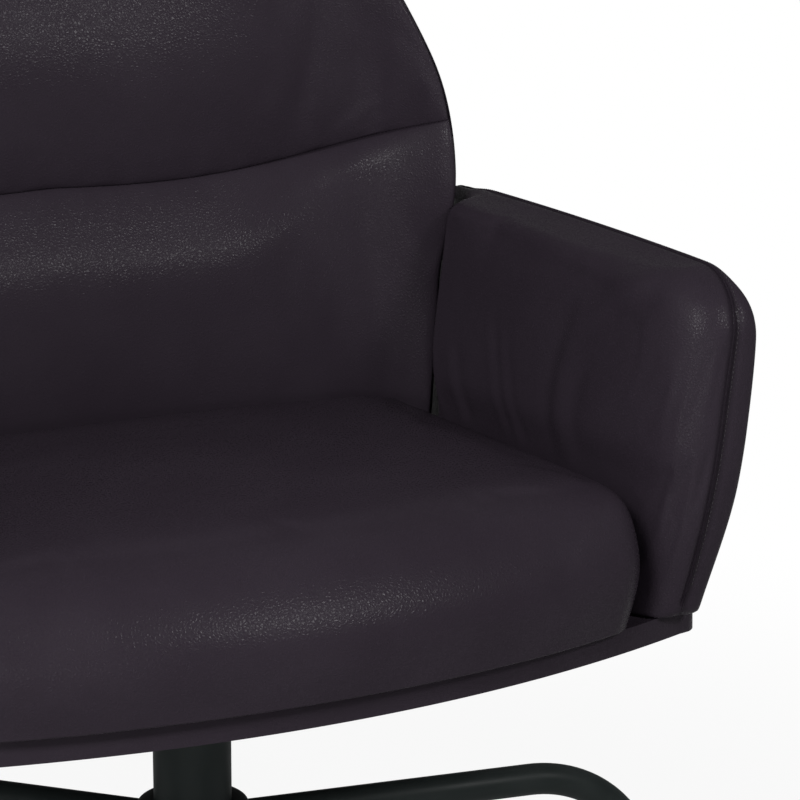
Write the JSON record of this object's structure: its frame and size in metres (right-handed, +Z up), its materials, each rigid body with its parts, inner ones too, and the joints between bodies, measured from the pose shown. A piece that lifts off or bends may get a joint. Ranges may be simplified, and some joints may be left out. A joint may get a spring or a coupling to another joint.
{
  "type": "swivel recliner chair",
  "caption": "Padded faux-leather recliner armchair that turns on a pedestal with bent tube legs and leans back on a sprung cross pin.",
  "frame": {"origin": "on the floor, under the centre of the overall box; the column stands 43 mm in front of it", "axes": "+Z up, the chair faces -Y, +X towards the sitter's left hand; left and right in node names are as seen from in front of the chair"},
  "size_m": [0.766, 0.8635, 0.982],
  "materials": {
    "faux_leather": "satin",
    "covered_board": "satin",
    "powder_coat": "satin",
    "zinc": "satin",
    "black_plastic": "matte",
    "nylon": "satin",
    "black_rubber": "matte"
  },
  "bodies": {
    "base": {"leg_1": "powder_coat", "leg_2": "powder_coat", "leg_3": "powder_coat", "leg_4": "powder_coat", "leg_5": "powder_coat", "glide_1": "black_plastic", "glide_2": "black_plastic", "glide_3": "black_plastic", "glide_4": "black_plastic", "glide_5": "black_plastic", "hub": "powder_coat", "column": "powder_coat", "upper_bush": "nylon", "lower_bush": "nylon", "hub_cap": "black_plastic"},
    "swivel": {"thrust_washer": "zinc", "spindle": "zinc", "retaining_ring": "zinc", "yoke": "powder_coat", "tilt_pin": "zinc", "tilt_nut": "zinc", "front_stop": "black_rubber", "rear_stop": "black_rubber"},
    "seat": {"seat_plate": "powder_coat", "pivot_tube": "powder_coat", "torsion_bush_left": "black_rubber", "torsion_bush_right": "black_rubber", "plate_screw_1": "zinc", "plate_screw_2": "zinc", "plate_screw_3": "zinc", "plate_screw_4": "zinc", "seat_board": "covered_board", "seat_cushion": "faux_leather", "back_lower": "faux_leather", "back_upper": "faux_leather", "back_shell": "faux_leather", "arm_pad_left": "faux_leather", "arm_pad_right": "faux_leather", "arm_shell_left": "faux_leather", "arm_shell_right": "faux_leather", "arm_bolt_left_1": "zinc", "arm_bolt_left_2": "zinc", "arm_bolt_right_1": "zinc", "arm_bolt_right_2": "zinc", "back_bolt_left": "zinc", "back_bolt_right": "zinc"}
  },
  "joints": [
    {"name": "swivel", "type": "hinge", "parent": "base", "child": "swivel", "pos_m": [0, -0.043, 0.2], "axis": [0, 0, 1], "continuous": true},
    {"name": "recline", "type": "hinge", "parent": "swivel", "child": "seat", "pos_m": [0, -0.043, 0.264], "axis": [-1, 0, 0], "range_deg": [0, 12], "stiffness_Nm_per_rad": 120, "springref_deg": -22.92}
  ]
}
